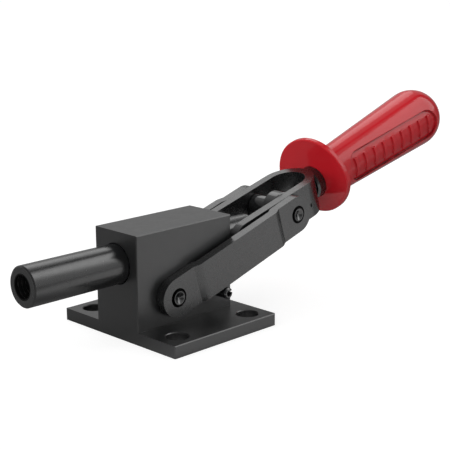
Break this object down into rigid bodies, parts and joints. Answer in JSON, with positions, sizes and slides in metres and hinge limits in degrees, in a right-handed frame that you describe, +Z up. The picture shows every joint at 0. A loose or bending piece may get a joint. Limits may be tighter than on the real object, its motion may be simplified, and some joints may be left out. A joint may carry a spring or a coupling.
{
  "type": "toggle clamp",
  "caption": "Straight-line toggle clamp: a lever with a red grip drives a round plunger through a block on a bolt-down base, and locks over centre on its side links.",
  "frame": {"origin": "centre of the base's four-hole pattern on the base's underside", "axes": "+X along the plunger from its tapped tip towards the handle, +Z up out of the base, +Y to the left of someone who looks along +X"},
  "size_m": [0.2967, 0.0794, 0.0968],
  "materials": {
    "block_steel": "black oxide over milled steel, satin",
    "bar_steel": "black oxide over rolled bar, satin",
    "plunger_steel": "black oxide over ground round bar, satin",
    "pin_steel": "black oxide over turned pins, satin",
    "grip_plastic": "glossy red moulding"
  },
  "bodies": {
    "base": {"body": "block_steel", "link_base_pin": "pin_steel", "link_stop_pin": "pin_steel"},
    "plunger": {"plunger": "plunger_steel"},
    "handle": {"yoke": "bar_steel", "handle_stem": "bar_steel", "grip": "grip_plastic", "plunger_pin": "pin_steel", "link_yoke_pin": "pin_steel", "spacer_sleeve": "pin_steel", "stop_collar": "pin_steel"},
    "links": {"link_near": "bar_steel", "link_far": "bar_steel", "link_yoke_pin_ends": "pin_steel"}
  },
  "joints": [
    {"name": "plunger_slide", "type": "slide", "parent": "base", "child": "plunger", "axis": [1, 0, 0], "range_m": [0, 0.05126]},
    {"name": "handle_swing", "type": "hinge", "parent": "plunger", "child": "handle", "pos_m": [0.04066, 0, 0.0364], "axis": [0, -1, 0], "range_deg": [0, 124]},
    {"name": "link_swing", "type": "hinge", "parent": "base", "child": "links", "pos_m": [-0.0118, 0, 0.0195], "axis": [0, -1, 0], "range_deg": [0, 8.44]}
  ],
  "couplings": [
    {"joint": "plunger_slide", "follows": "handle_swing", "m_per_rad": 0.023683},
    {"joint": "link_swing", "follows": "handle_swing", "ratio": 0.068063}
  ]
}
